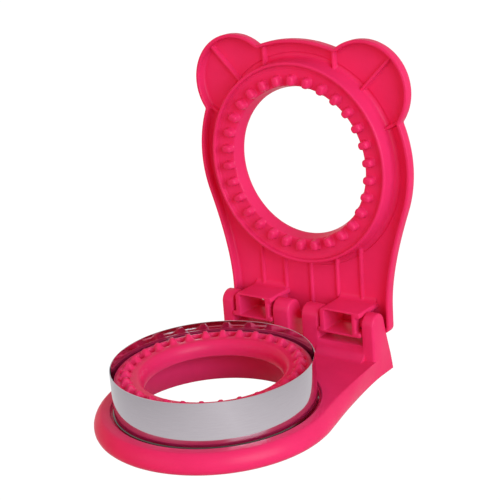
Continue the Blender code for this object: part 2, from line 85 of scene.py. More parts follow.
# Its rounded edge as (height, how far in), and where the rounding starts to fade and over what length
PLATE_EDGE = ((0.0, 1.5), (0.25, 1.2), (0.9, 0.55), (1.9, 0.12), (3.0, 0.0), (4.2, 0.12), (5.4, 0.5),
              (6.5, 1.05), (7.5, 1.75), (8.3, 2.5), (8.85, 3.2), (9.08, 3.7), (PLATE_TOP, 4.3))
EDGE_FADE = 0.98
EDGE_FADE_Y = 18.0
EDGE_FADE_LONG = 46.0

# Hollow underside as (height, rounding, extra wall), the skirt round the bore and the ribs
WALL = 2.0
HOLLOW_TOP = PLATE_TOP - WALL
HOLLOW = ((-PAST, 1.25, 0.0), (5.0, 1.25, 0.2), (HOLLOW_TOP, 2.65, 0.8))
SKIRT_R = 45.5
SKIRT_WALL = 2.0
SKIRT_BEND = (4.2, 5.6)
SLOT_R = 47.7
SLOT_WALL = 1.8
SLOT_EDGE = ((0.0, -0.5), (0.06, -0.24), (0.24, -0.06), (0.5, 0.0), (0.9, 1.0))
UNDER_RIBS = (-24.0, 0.0, 24.0)
UNDER_RIB_HALF = 0.8
UNDER_RIB_START = 40.0
UNDER_RIB_FOOT = 0.6
UNDER_RIB_TOP = 20.0

# Hinge line, ears and their bosses
PIVOT_Y = 72.8
PIVOT_Z = 25.95
PIVOT_SEG = 48
BOSS_R = 3.2
BOSS_ROOT = 1.0
BOSS_INNER = 3.0
BOSS_OUTER = 3.9
BOSS_EDGE = ((0.5, 0.0), (0.1, 0.25), (0.0, 0.5))
EAR_INNER = (3.7, 13.2)
EAR_OUTER = (37.3, 43.8)
EAR_DRAFT = 0.2
EAR_FRONT = 65.9
EAR_LEAN = 0.2
EAR_Y = 71.4
EAR_Z = 26.0
EAR_DOME = 5.5
EAR_SLOPE = 11.6
EAR_SLOPE_STEPS = (18.0, 9.0)
EAR_STRAIGHT = 8.0
EAR_FOOT = 1.0
EAR_FOOT_LONG = 6.0
EAR_ROUND = 1.1
EAR_ROUND_STEPS = (0, 22, 45, 67, 90)
EAR_FRONT_FOOT = 2.0
EAR_FADE_Z = 9.0
EAR_FADE_HIGH = 15.0

# Blocks between the ears; the front edge is given as (back, down), the cove at its foot as an arc
BLOCK_TOP = 16.2
BLOCK_BACK = 76.5
BLOCK_EDGE = ((0.15, 0.7), (0.35, 0.2), (0.8, 0.0))
BLOCK_LEAN = 1.2
BLOCK_LAP = 1.2
BLOCK_SUNK = 0.6
BLOCK_COVE_LONG = 5.0
BLOCK_COVE_HIGH = 4.4
BLOCK_COVE_LAP = 0.4

# Crimping ring's section as (radius, height): the bowl up to the crown, and the outside and underside
BOWL = ((31.53, 17.12), (31.5, 17.3), (31.5, 18.0), (31.5, 19.0), (31.54, 19.7), (31.65, 20.4), (31.8, 21.1),
        (32.02, 21.7), (32.3, 22.25), (32.65, 22.8), (33.05, 23.3), (33.5, 23.7), (34.0, 24.0), (34.6, 24.18),
        (35.3, 24.27), (36.1, 24.3))
UNDER = ((44.4, 23.65), (44.42, 23.2), (44.5, 21.0), (44.75, 14.0), (45.0, 7.0), (45.2, 0.5), (45.0, 0.3),
         (42.9, 0.3), (42.7, 0.5), (42.45, 8.0), (42.2, 17.8), (41.9, 18.9), (41.0, 19.5), (39.2, 19.6),
         (35.2, 19.5), (34.3, 19.2), (33.75, 18.6), (33.55, 17.8), (33.45, 17.3), (33.2, 17.0), (32.8, 16.9),
         (32.1, 16.88), (31.8, 16.92), (31.62, 17.0))

# Its crown with cups, knobs between them and a low ridge outside the cups.
# Drops are (depth, start radius, width), the ridge's two sides are (start radius, width).
CROWN_Z = 24.3
CROWN_DROPS = ((0.1, 36.5, 1.5), (0.25, 43.2, 1.0))
CROWN_IN = 36.9
CROWN_OUT = 44.25
CROWN_OUT_Z = 24.0
CROWN_STEP = 0.15
CROWN_STEPS = 50
TOOTH_SEG = 32
KNOB_R = 39.25
KNOB_HIGH = 2.6
KNOB_FLAT = 0.4
KNOB_FALL = 2.7
KNOB_HALF = 1.5
KNOB_POWER = 4.5
RIDGE_HIGH = 0.3
RIDGE_IN = (41.6, 0.7)
RIDGE_OUT = (43.1, 0.9)
CUP_R = 39.9
CUP_LONG = 2.4
CUP_WIDE = 2.45
CUP_POWER = 2.4
CUP_DEEP = 3.0
CUP_FLOOR = 0.84
CUP_WALL = 0.2

# Lid: u across, s along it from its ring's middle and q towards its open side
TILT = 1.2
LIP_Q = -1.0
RIM_Q = -4.5
FLOOR_Q = -9.0
BACK_Q = -10.5
PAD_Q = -11.0
RIM_WALL = 1.7
RIM_FLAT = 1.1
RIM_ABOVE = (2.0, 0.02)
RIM_ROUND = ((0.0, 0.55), (0.03, 0.35), (0.12, 0.17), (0.3, 0.05), (0.55, 0.0))
BACK_ROUND = 2.3
TRAY_WALL = 1.73
TRAY_ROUND = 1.2
TRAY_BEND = 1.3

# Lid's outline: tail, straight sides, cheeks, the head's ears and the top of the head
TAIL_S = -79.6
TAIL_HALF = 45.25
TAIL_CORNER = 3.2
TAIL_STEPS = (0.0, 14.0, 28.0)
TAIL_LINE_END = -68.0
TAIL_BEND = 14.0
CHEEK_R = 58.9
CHEEK_START = -19.3
CHEEK_BEND = 20.0
HEAD_EAR = (35.55, 36.32)
HEAD_EAR_R = 23.35
HEAD_C = -8.84
HEAD_R = 67.29
NOTCH_R = 1.2
NOTCH_SEG = 6
RELIEF_HALF = 43.55
RELIEF_DEPTH = (1.0, 6.0)
RELIEF_HIGH = 2.7

# Collar and ring face as (radius, q), the step round them and the hole that they fill
COLLAR_IN = 47.0
COLLAR_OUT = 48.6
NECK_R = 35.84
FACE_Q = -2.25
COLLAR_LIP = ((COLLAR_IN - 0.05, -1.0), (COLLAR_IN, -0.5), (COLLAR_IN + 0.12, -0.22),
              (COLLAR_IN + 0.35, -0.05), (COLLAR_IN + 0.8, 0.0), (COLLAR_OUT - 0.4, -0.05),
              (COLLAR_OUT - 0.15, -0.22), (COLLAR_OUT, -0.55))
COLLAR_SIDE = ((48.75, -2.5), (49.0, -5.0), (49.2, -7.0), (49.35, -7.9), (49.7, -8.6), (50.3, -9.15),
               (51.0, -9.4), (51.4, -9.6), (50.8, -10.0), (50.8, -10.75), (50.55, -10.93))
COLLAR_PAD = ((50.1, PAD_Q), (38.8, PAD_Q), (38.0, -10.9), (37.2, -10.6), (36.5, -10.1), (36.05, -9.4))
COLLAR_NECK = ((NECK_R + 0.02, -8.6), (NECK_R, -8.07), (36.1, -7.0), (36.6, -5.0), (37.05, -3.2),
               (37.15, -2.85), (37.35, -2.6), (37.7, -2.47))
COLLAR_FACE = ((38.2, -2.45), (44.9, -2.45), (45.1, -2.4), (45.25, -2.28), (45.5, FACE_Q), (46.5, FACE_Q),
               (46.8, -2.1), (46.92, -1.8))
COLLAR_SEG = 300
STEP_SEG = 180
STEP = ((COLLAR_OUT, -8.0), (COLLAR_OUT, -9.4), (51.6, -9.4), (51.85, -9.3), (51.95, -9.1), (52.0, -8.0))
HOLE_R = 48.0
HOLE_Q = (-13.0, 2.0)

# Pegs on the ring face: an oval with its section as (q, how far in) up to a rounded top
PEG_R = 39.95
PEG_LONG = 2.55
PEG_WIDE = 2.0
PEG_POWER = 2.7
PEG_SEG = 24
PEG_SIDE = ((-2.9, -0.4), (-2.45, -0.35), (-2.2, -0.12), (-1.9, 0.0), (-0.1, 0.06))
PEG_TOP_HIGH = 1.3
PEG_TOP_IN = 1.24
PEG_TOP_STEPS = (20, 38, 54, 68, 80, 90)

# Stiffening ribs: their section as (height from foot or crest, half width), and where they run
RIB_FOOT = ((-0.3, 1.25), (0.0, 0.95), (0.35, 0.8))
RIB_CREST = ((-0.3, 0.7), (-0.08, 0.58), (0.0, 0.35))
RIB_Q = -7.9
HEAD_RIB_Q = -7.0
LONG_RIBS = (0.0, 15.09, 28.66)
LONG_RIB_R = 48.3
MIDDLE_RIB_END = -74.0
LONG_RIB_LAP = 0.2
HEAD_RIBS = (((50.2, 52.6), (33.4, 35.9)), ((19.4, 53.9), (19.4, 44.4)), ((52.9, 22.8), (45.3, 18.9)))

# Box knuckles about the hinge line. Both have the rounded wall on the left and the lipped one on the right.
BOX_IN = 17.2
BOX_OUT = 32.4
BOX_NEAR = EAR_INNER[1] + GAP
BOX_FAR = EAR_OUTER[0] - GAP
BOX_LEFT_WALL = 2.6
BOX_RIGHT_WALL = 2.0
BOX_FRONT = 7.2
BOX_TOP = 6.4
BOX_LOW = -6.0
BOX_PLATE = 1.05
BOX_SLOT = 3.65
BOX_CORNERS = (2.4, 0.9, 0.9, 0.6, 0.6, 0.9, 0.9, 0.7, 0.5, 0.4)
BOX_EDGE = ((0.0, 0.38), (0.06, 0.2), (0.2, 0.07), (0.42, 0.0))
BOX_SUNK = 0.7
BAY_CORNER = 0.7
BAY_EDGE = ((-PAST, -0.3), (-0.02, -0.3), (0.06, -0.15), (0.2, -0.05), (0.4, 0.0))
SILL = -3.0
SILL_RIGHT = 0.5
SILL_IN = 0.1
SILL_CORNER = 0.6
SILL_DEPTH = (5.0, 14.0)
BOX_COVE_LONG = 3.6
BOX_COVE_HIGH = 2.6
BOX_COVE_LAP = (0.6, 0.05)
BOX_COVE_ENDS = (1.6, 0.9)
CORNER_SEG = 5

# Looks
PINK = ((0.79, 0.027, 0.136, 1), (0.85, 0.031, 0.154, 1))
STEEL = ((0.61, 0.56, 0.605, 1), (0.64, 0.59, 0.635, 1))
# Painted shade on the hem: a dark colour that replaces the steel's colour up to this height above the band's
# foot, standing in for the dark slot it reflects
HEM_PAINTED_SHADE = (0.14, 0.11, 0.10, 1)
HEM_PAINTED_SHADE_HIGH = 0.85
PLASTIC_ROUGHNESS = (0.30, 0.38)
PLASTIC_IOR = 1.45
PLASTIC_SPECULAR = 0.16
STEEL_ROUGHNESS = (0.05, 0.09)
EDGE_SOFT = 0.4
TEXTURE_DEEP = 0.02
SEAM_AT = 165.0
SEAM_HALF = 0.0045
# Noises as (scale, detail): the plastic's colour, its gloss and its grain. Streaks are long around the band.
PINK_NOISE = (60.0, 3.0)
GLOSS_NOISE = (350.0, 2.0)
GRAIN_NOISE = (700.0, 2.0)
GRAIN_STRENGTH = 0.25
STREAK_AROUND = 6.0
STREAK_UP = 2600.0
STREAK_NOISE = (1.0, 3.0, 0.6)
STREAK_DEEP = 0.25
STEEL_STRENGTH = 0.3

# Light, in metres. The ground and the background are a plain white to the camera.
CAMERA_WHITE = 1.05
FLOOR_HALF = 3.0
FLOOR_TINT = (0.66, 0.42, 0.44, 1)
FLOOR_GREY = 0.86
FLOOR_GREY_LEAST = 0.6
FLOOR_GREY_FALL = 1.9
FLOOR_ACROSS = (0.8, 0.6)
FLOOR_MIDDLE = 0.015
SKY = 0.75
FILL_TINT = (2.0, 0.46, 0.50, 1)
FILL_LESS_ABOVE = 0.85
LAMP_TINT = (0.66, 1.3, 1.32)
LAMP_AIM = (0.0, 0.0, 0.06)
# Each lamp's name, place, size and power
LAMPS = (("key", (1.15, -0.42, 0.5), 0.9, 12.5), ("front", (-0.5, -1.2, 0.4), 1.0, 1.4))

# Camera fitted to the photo: focal length in the photo's pixels, place in millimetres, and turn, tip and roll
PHOTO_PX = 500
FOCAL_PX = 1363.525
SENSOR = 36.0
CAMERA_PLACE = (354.4646, -435.0681, 267.6975)
CAMERA_TURN = (37.0295, 18.6304, -4.8145)


# Mesh helpers
def make(name, verts, faces):
    mesh = bpy.data.meshes.new(name)
    mesh.from_pydata([(x * MM, y * MM, z * MM) for x, y, z in verts], [], faces)
    bm = bmesh.new()
    bm.from_mesh(mesh)
    bmesh.ops.recalc_face_normals(bm, faces=bm.faces)
    bm.to_mesh(mesh)
    bm.free()
    obj = bpy.data.objects.new(name, mesh)
    bpy.context.scene.collection.objects.link(obj)
    return obj


def loft(name, rings):
    """Closed solid through rings that all have the same number of points."""
    n = len(rings[0])
    faces = [list(range(n))[::-1], list(range((len(rings) - 1) * n, len(rings) * n))]
    for k in range(len(rings) - 1):
        for i in range(n):
            j = (i + 1) % n
            faces.append((k * n + i, k * n + j, (k + 1) * n + j, (k + 1) * n + i))
    return make(name, [p for ring in rings for p in ring], faces)


def grid(name, rows):
    """Closed ring solid: rows are the profile at each angle, all of one length."""
    n, m = len(rows[0]), len(rows)
    faces = [(k * n + i, ((k + 1) % m) * n + i, ((k + 1) % m) * n + (i + 1) % n, k * n + (i + 1) % n)
             for k in range(m) for i in range(n)]
    return make(name, [p for row in rows for p in row], faces)


def direction(k, seg):
    """Cosine and sine of step k of seg around a circle."""
    a = 2 * math.pi * k / seg
    return math.cos(a), math.sin(a)


def disc(levels, seg=240):
    """Round solid about the cutting ring's axis through (radius, height) levels."""
    steps = [direction(k, seg) for k in range(seg)]
    return loft("disc", [[(r * c, r * s + AXIS_Y, z) for c, s in steps] for r, z in levels])


def block(x0, x1, y0, y1, z0, z1):
    corners = [(x0, y0 + AXIS_Y), (x1, y0 + AXIS_Y), (x1, y1 + AXIS_Y), (x0, y1 + AXIS_Y)]
    return loft("block", [[(x, y, z) for x, y in corners] for z in (z0, z1)])


def across(name, profile, xs):
    """Solid with one profile in Y and Z at each of the places in X."""
    return loft(name, [[(x, y, z) for y, z in profile] for x in xs])


def join(name, parts):
    verts, faces = [], []
    for part in parts:
        base = len(verts)
        verts += [tuple(c / MM for c in v.co) for v in part.data.vertices]
        faces += [[base + i for i in p.vertices] for p in part.data.polygons]
        bpy.data.objects.remove(part, do_unlink=True)
    return make(name, verts, faces)


def boolean(target, tool, operation):
    mod = target.modifiers.new("cut", "BOOLEAN")
    mod.object, mod.operation, mod.solver = tool, operation, "EXACT"
    with bpy.context.temp_override(object=target, active_object=target, selected_objects=[target]):
        bpy.ops.object.modifier_apply(modifier=mod.name)
    bpy.data.objects.remove(tool, do_unlink=True)


def add(target, tool):
    boolean(target, tool, "UNION")


def take(target, tool):
    boolean(target, tool, "DIFFERENCE")


def shade(obj, mat, angle=40.0):
    """Material and smooth shading; edges sharper than the angle stay sharp."""
    obj.data.materials.clear()
    obj.data.materials.append(mat)
    obj.data.shade_smooth()
    obj.data.set_sharp_from_angle(angle=math.radians(angle))


# Outline helpers
def smooth(t):
    t = min(max(t, 0.0), 1.0)
    return t * t * (3 - 2 * t)


def arc(cx, cy, r, a0, a1, n):
    """Points of an arc with their outward normals."""
    out = []
    for k in range(n + 1):
        a = math.radians(a0 + (a1 - a0) * k / n)
        out.append((cx + r * math.cos(a), cy + r * math.sin(a), math.cos(a), math.sin(a)))
    return out


def bezier(p0, c0, c1, p1, n):
    """Points between the ends of a curve with their normals to the right of the way."""
    out = []
    for k in range(1, n):
        t = k / n
        w = ((1 - t) ** 3, 3 * t * (1 - t) ** 2, 3 * t * t * (1 - t), t ** 3)
        x, y = (sum(wi * p[i] for wi, p in zip(w, (p0, c0, c1, p1))) for i in (0, 1))
        d = (3 * (1 - t) ** 2, 6 * t * (1 - t), 3 * t * t)
        legs = [(b[0] - a[0], b[1] - a[1]) for a, b in ((p0, c0), (c0, c1), (c1, p1))]
        dx, dy = (sum(di * leg[i] for di, leg in zip(d, legs)) for i in (0, 1))
        size = math.hypot(dx, dy)
        out.append((x, y, dy / size, -dx / size))
    return out


def mirrored(half):
    return half + [(-x, y, -nx, ny) for x, y, nx, ny in reversed(half) if abs(x) > 1e-6]


def rounded(points, radii, n):
    """Closed polygon with each corner rounded by its own radius."""
    out = []
    count = len(points)
    for i, (p, r) in enumerate(zip(points, radii)):
        a, b = points[i - 1], points[(i + 1) % count]
        u = Vector((a[0] - p[0], a[1] - p[1])).normalized()
        v = Vector((b[0] - p[0], b[1] - p[1])).normalized()
        half = math.acos(max(-1.0, min(1.0, u.dot(v)))) / 2
        reach = r / math.tan(half)
        centre = Vector(p) + (u + v).normalized() * (r / math.sin(half))
        start = Vector(p) + u * reach - centre
        end = Vector(p) + v * reach - centre
        turn = math.atan2(start.x * end.y - start.y * end.x, start.dot(end))
        for k in range(n + 1):
            t = turn * k / n
            out.append((centre.x + start.x * math.cos(t) - start.y * math.sin(t),
                        centre.y + start.x * math.sin(t) + start.y * math.cos(t)))
    return out


def inset(points, d):
    """Closed polygon moved in by d; works for either direction of travel."""
    area = sum(a[0] * b[1] - a[1] * b[0] for a, b in zip(points, points[1:] + points[:1]))
    sign = 1 if area > 0 else -1
    out = []
    for i, p in enumerate(points):
        a, b = points[i - 1], points[(i + 1) % len(points)]
        e0 = Vector((p[0] - a[0], p[1] - a[1])).normalized()
        e1 = Vector((b[0] - p[0], b[1] - p[1])).normalized()
        n0, n1 = Vector((-e0.y, e0.x)) * sign, Vector((-e1.y, e1.x)) * sign
        n = (n0 + n1).normalized()
        out.append((p[0] + n.x * d / max(n.dot(n0), 0.4), p[1] + n.y * d / max(n.dot(n0), 0.4)))
    return out


def oval(cx, cy, rx, ry, n, power):
    """Oval that grows squarer with its power."""
    out = []
    for i in range(n):
        c, s = direction(i, n)
        out.append((cx + rx * math.copysign(abs(c) ** (2 / power), c),
                    cy + ry * math.copysign(abs(s) ** (2 / power), s)))
    return out


def quarter(step):
    """Angles of a quarter turn, both ends included, in radians."""
    return [math.radians(a) for a in range(0, 91, step)]


def pivot_circle(x, r, y=0.0, z=0.0):
    """Circle across X, for what turns about the hinge line."""
    return [(x, y + r * c, z + r * s) for c, s in (direction(k, PIVOT_SEG) for k in range(PIVOT_SEG))]


# Base moulding
def plate_outline():
    a = math.radians(LINE_ANGLE)
    x1, y1 = PLATE_R * math.cos(a), PLATE_R * math.sin(a)
    half = arc(0, 0, PLATE_R, -90, LINE_ANGLE, n=60)
    half += [(x1 - d * math.sin(a), y1 + d * math.cos(a), math.cos(a), math.sin(a)) for d in LINE_STEPS]
    end = half[-1][:2]
    bend = 0.5 * (end[0] - REAR_HALF) / math.tan(a)
    half += bezier(end, (end[0] - bend * math.sin(a), end[1] + bend * math.cos(a)),
                   (REAR_HALF, PIVOT_Y - bend), (REAR_HALF, PIVOT_Y), n=14)
    half += [(REAR_HALF, PIVOT_Y, 1.0, 0.0), (REAR_HALF, REAR_Y, 1.0, 1.0)]
    return mirrored(half)


def plate_ring(outline, z, roundness, move=0.0):
    """Outline at height z; the rear edge leans forward with the ears' back slope."""
    ring = []
    for x, y, nx, ny in outline:
        d = move + roundness * (1.0 - EDGE_FADE * smooth((y - EDGE_FADE_Y) / EDGE_FADE_LONG))
        back = move + z * math.tan(math.radians(EAR_SLOPE)) if y == REAR_Y else ny * d
        ring.append((x - nx * d, y - back + AXIS_Y, z))
    return ring


def plate():
    outline = plate_outline()
    base = loft("base_moulding", [plate_ring(outline, z, d) for z, d in PLATE_EDGE])
    hollow = loft("hollow", [plate_ring(outline, z, d, WALL + more) for z, d, more in HOLLOW])
    skirt_out, slot_out = SKIRT_R + SKIRT_WALL, SLOT_R + SLOT_WALL
    take(hollow, disc([(skirt_out, -2 * PAST), (skirt_out, SKIRT_BEND[0]),
                       (slot_out, SKIRT_BEND[1]), (slot_out, HOLLOW_TOP + PAST)]))
    for x in UNDER_RIBS:
        take(hollow, block(x - UNDER_RIB_HALF, x + UNDER_RIB_HALF, UNDER_RIB_START, REAR_Y,
                           UNDER_RIB_FOOT, UNDER_RIB_TOP))
    take(base, hollow)
    return base


def ear_side_view():
    """Ear from the side as (y, z): front, dome, back slope and foot."""
    slope = math.radians(EAR_SLOPE)
    dome_y, dome_z = EAR_Y + EAR_DOME * math.cos(slope), EAR_Z + EAR_DOME * math.sin(slope)
    view = [(EAR_FRONT - EAR_LEAN, HOLLOW_TOP), (EAR_FRONT, EAR_Z - EAR_STRAIGHT)]
    view += [point[:2] for point in reversed(arc(EAR_Y, EAR_Z, EAR_DOME, EAR_SLOPE, 180, n=28))]
    view += [(dome_y + (dome_z - z) * math.tan(slope), z) for z in (*EAR_SLOPE_STEPS, EAR_FOOT)]
    return view + [(EAR_FRONT + EAR_FOOT_LONG, EAR_FOOT)]


def ear_steps(x0, x1, draft0, draft1):
    """Places across an ear as (x, how far its outline is pulled in, draft, side)."""
    steps = []
    for x, draft, side, angles in ((x0, draft0, -1, EAR_ROUND_STEPS), (x1, draft1, 1, EAR_ROUND_STEPS[::-1])):
        for a in (math.radians(angle) for angle in angles):
            pull = EAR_ROUND * (1 - math.sin(a))
            steps.append((x - side * EAR_ROUND * (1 - math.cos(a)), pull, draft, side))
    return steps


def ear(x0, x1, draft0, draft1):
    """Ear with rounded edges; each side stands out by its draft at the foot."""
    view = ear_side_view()
    rings = []
    for x, pull, draft, side in ear_steps(x0, x1, draft0, draft1):
        ring = []
        for y, z in view:
            low = min(max((EAR_Z - z) / (EAR_Z - EAR_FOOT), 0.0), 1.0)
            if z > EAR_Z - 0.01:
                size = math.hypot(y - EAR_Y, z - EAR_Z)
                dy, dz = (y - EAR_Y) / size, (z - EAR_Z) / size
            else:
                dy, dz = (-1.0, 0.0) if y < EAR_Y else (1.0, 0.2)
            # The rounding fades out down the back slope, where the ear meets the plate's rear edge
            keep = smooth((z - EAR_FADE_Z) / EAR_FADE_HIGH)
            if y < EAR_Y and z > EAR_FRONT_FOOT:
                keep = 1.0
            ring.append((x + side * draft * low, y - dy * pull * keep + AXIS_Y, z - dz * pull * keep))
        rings.append(ring)
    return loft("ear", rings)


def block_side_view():
    """Block from the side as (y, z), with the cove that runs from the plate up its front."""
    view = [(EAR_FRONT + back, BLOCK_TOP - down) for back, down in BLOCK_EDGE]
    view += [(BLOCK_BACK, BLOCK_TOP), (BLOCK_BACK + BLOCK_LEAN, PLATE_TOP - BLOCK_SUNK),
             (EAR_FRONT - BLOCK_COVE_LONG - BLOCK_COVE_LAP, PLATE_TOP - BLOCK_SUNK)]
    view += [(EAR_FRONT - BLOCK_COVE_LONG + BLOCK_COVE_LONG * math.sin(a),
              PLATE_TOP + BLOCK_COVE_HIGH * (1 - math.cos(a))) for a in quarter(9)]
    return [(y + AXIS_Y, z) for y, z in view]


def boss(side, edge, into, deep):
    """Pivot boss on an ear's wall at edge, with its free end rounded."""
    levels = [(-BOSS_ROOT, BOSS_R)] + [(deep - back, BOSS_R - less) for back, less in BOSS_EDGE]
    return loft("boss", [pivot_circle(side * (edge + into * d), r, PIVOT_Y + AXIS_Y, PIVOT_Z)
                         for d, r in levels])


def build_base(mat):
    base = plate()
    for side in (-1, 1):
        inner, outer = sorted(side * x for x in EAR_INNER), sorted(side * x for x in EAR_OUTER)
        add(base, ear(*inner, 0.0, 0.0))
        add(base, ear(*outer, EAR_DRAFT * (side < 0), EAR_DRAFT * (side > 0)))
        ends = sorted((side * (EAR_INNER[1] - BLOCK_LAP), side * (EAR_OUTER[0] + BLOCK_LAP)))
        add(base, across("block", block_side_view(), ends))
        add(base, boss(side, EAR_INNER[1], 1, BOSS_INNER))
        add(base, boss(side, EAR_OUTER[0], -1, BOSS_OUTER))
    ledge = BAND_FOOT - GAP
    take(base, disc([(SKIRT_R, -PAST), (SKIRT_R, ledge), (SLOT_R, ledge)]
                    + [(SLOT_R + out, PLATE_TOP + up) for out, up in SLOT_EDGE]))
    shade(base, mat)
    return base


# Steel band
def build_band(mat):
    inner = BAND_R - BAND_THICK
    profile = [(inner, BAND_FOOT + BAND_FOOT_BEVEL), (inner + BAND_FOOT_BEVEL, BAND_FOOT)]
    profile += [(BAND_R + out, BAND_FOOT + up) for out, up in HEM]
    profile += [(BAND_R - back, BAND_TOP - down) for back, down in BAND_OUTER_EDGE]
    profile += [(inner + out, BAND_TOP - down) for out, down in BAND_INNER_EDGE]
    steps = [direction(k, BAND_SEG) for k in range(BAND_SEG)]
    band = grid("steel_band", [[(r * c, r * s, z) for r, z in profile] for c, s in steps])
    for v in band.data.vertices:
        v.co.y += AXIS_Y * MM
    shade(band, mat, 30.0)
    return band


# Crimping ring
def crimp_top(r, t, pitch):
    """Height of the ring's crown at radius r, t along the circle from the nearest cup's middle."""
    crown = CROWN_Z
    for deep, start, wide in CROWN_DROPS:
        crown -= deep * smooth((r - start) / wide)
    from_knob = pitch / 2 - abs(t)
    knob = 1.0 - smooth((abs(r - KNOB_R) - KNOB_FLAT) / KNOB_FALL)
    knob /= 1.0 + (abs(from_knob) / KNOB_HALF) ** KNOB_POWER
    ridge = smooth((r - RIDGE_IN[0]) / RIDGE_IN[1]) * (1.0 - smooth((r - RIDGE_OUT[0]) / RIDGE_OUT[1]))
    ridge *= 1.0 - knob
    out = (abs(r - CUP_R) / CUP_LONG) ** CUP_POWER + (abs(t) / CUP_WIDE) ** CUP_POWER
    cup = 1.0 - smooth((out ** (1 / CUP_POWER) - CUP_FLOOR) / CUP_WALL)
    return crown + KNOB_HIGH * knob + RIDGE_HIGH * ridge - CUP_DEEP * cup


def build_crimp(mat):
    crown = [CROWN_IN + CROWN_STEP * i for i in range(CROWN_STEPS)]
    rows = []
    for k in range(TEETH * TOOTH_SEG):
        place = (k % TOOTH_SEG) / TOOTH_SEG - 0.5
        row = list(BOWL)
        for r in crown:
            pitch = 2 * math.pi * r / TEETH
            row.append((r, crimp_top(r, place * pitch, pitch)))
        row[-1] = (CROWN_OUT, min(row[-1][1], CROWN_OUT_Z))
        row += UNDER
        c, s = direction(k, TEETH * TOOTH_SEG)
        rows.append([(r * c, r * s + AXIS_Y, z) for r, z in row])
    ring = grid("crimping_ring", rows)
    shade(ring, mat, 60.0)
    return ring


# Lid
def notch(c1, r1, c2, r2):
    """Centre of the small circle that softens the notch between two circles."""
    dx, dy = c2[0] - c1[0], c2[1] - c1[1]
    d = math.hypot(dx, dy)
    a, b = r1 + NOTCH_R, r2 + NOTCH_R
    along = (d * d + a * a - b * b) / (2 * d)
    off = math.sqrt(a * a - along * along)
    return (c1[0] + (along * dx + off * dy) / d, c1[1] + (along * dy - off * dx) / d)


def angle_of(centre, p):
    return math.degrees(math.atan2(p[1] - centre[1], p[0] - centre[0]))


def notch_arc(centre, a0, a1):
    turn = (a1 - a0 + 180) % 360 - 180
    out = []
    for k in range(1, NOTCH_SEG):
        a = math.radians(a0 + turn * k / NOTCH_SEG)
        c, s = math.cos(a), math.sin(a)
        out.append((centre[0] + NOTCH_R * c, centre[1] + NOTCH_R * s, -c, -s))
    return out


def lid_outline():
    half = [(u, TAIL_S, 0.0, -1.0) for u in TAIL_STEPS]
    half += arc(TAIL_HALF - TAIL_CORNER, TAIL_S + TAIL_CORNER, TAIL_CORNER, -90, 0, n=10)
    start = (TAIL_HALF, TAIL_LINE_END)
    half.append((*start, 1.0, 0.0))
    c, s = math.cos(math.radians(CHEEK_START)), math.sin(math.radians(CHEEK_START))
    end = (CHEEK_R * c, CHEEK_R * s)
    half += bezier(start, (start[0], start[1] + TAIL_BEND),
                   (end[0] + CHEEK_BEND * s, end[1] - CHEEK_BEND * c), end, n=16)
    middle, head = (0, 0), (0, HEAD_C)
    lower = notch(middle, CHEEK_R, HEAD_EAR, HEAD_EAR_R)
    upper = notch(HEAD_EAR, HEAD_EAR_R, head, HEAD_R)
    half += arc(*middle, CHEEK_R, CHEEK_START, angle_of(middle, lower), n=18)
    half += notch_arc(lower, angle_of(middle, lower) + 180, angle_of(HEAD_EAR, lower) - 180)
    half += arc(*HEAD_EAR, HEAD_EAR_R, angle_of(HEAD_EAR, lower), angle_of(HEAD_EAR, upper), n=48)
    half += notch_arc(upper, angle_of(HEAD_EAR, upper) + 180, angle_of(head, upper) - 180)
    half += arc(*head, HEAD_R, angle_of(head, upper), 90, n=12)
    return mirrored(half)


def lid_point(u, s, q):
    """Place on the upright lid, with the hinge line at the origin."""
    return (u, -(q + LIP_Q), s + PIVOT_Y)


def lid_ring(outline, q, d):
    """Lid's outline at q, moved in by d."""
    return [lid_point(x - nx * d, y - ny * d, q) for x, y, nx, ny in outline]


def lid_round(name, profile, seg):
    """Ring on the lid about its ring's middle, from a closed profile in radius and q."""
    steps = [direction(k, seg) for k in range(seg)]
    return grid(name, [[lid_point(r * c, r * s, q) for r, q in profile] for c, s in steps])


def lid_shell():
    """Bear-head tray with its rim, cut out for the ring and relieved at the tail."""
    outline = lid_outline()
    side = [(RIM_Q - down, d) for down, d in RIM_ROUND]
    side += [(BACK_Q + BACK_ROUND * (1 - math.sin(a)), BACK_ROUND * (1 - math.cos(a))) for a in quarter(15)]
    lid = loft("lid_moulding", [lid_ring(outline, q, d) for q, d in side])
    tray = [(RIM_Q + up, RIM_FLAT) for up in RIM_ABOVE]
    tray += [(RIM_Q - down, RIM_WALL - d) for down, d in RIM_ROUND[1:]]
    tray.append((FLOOR_Q + TRAY_BEND, TRAY_WALL))
    tray += [(FLOOR_Q + TRAY_ROUND * (1 - math.sin(a)), TRAY_WALL + TRAY_ROUND * (1 - math.cos(a)))
             for a in quarter(15)[1:]]
    take(lid, loft("tray", [lid_ring(outline, q, d) for q, d in tray]))
    take(lid, lid_round("step", STEP, STEP_SEG))
    tail = TAIL_S + PIVOT_Y
    y0, y1 = RELIEF_DEPTH
    corners = ((-RELIEF_HALF, y0), (RELIEF_HALF, y0), (RELIEF_HALF, y1), (-RELIEF_HALF, y1))
    take(lid, loft("relief", [[(x, y, z) for x, y in corners] for z in (tail - PAST, tail + RELIEF_HIGH)]))
    steps = [direction(k, STEP_SEG) for k in range(STEP_SEG)]
    take(lid, loft("hole", [[lid_point(HOLE_R * c, HOLE_R * s, q) for c, s in steps] for q in HOLE_Q]))
    return lid


def upright(name, section, stations):
    """Solid along Y through a section in X and Z, moved in by d at each station (y, d)."""
    return loft(name, [[(x, y, z) for x, z in inset(section, d)] for y, d in stations])


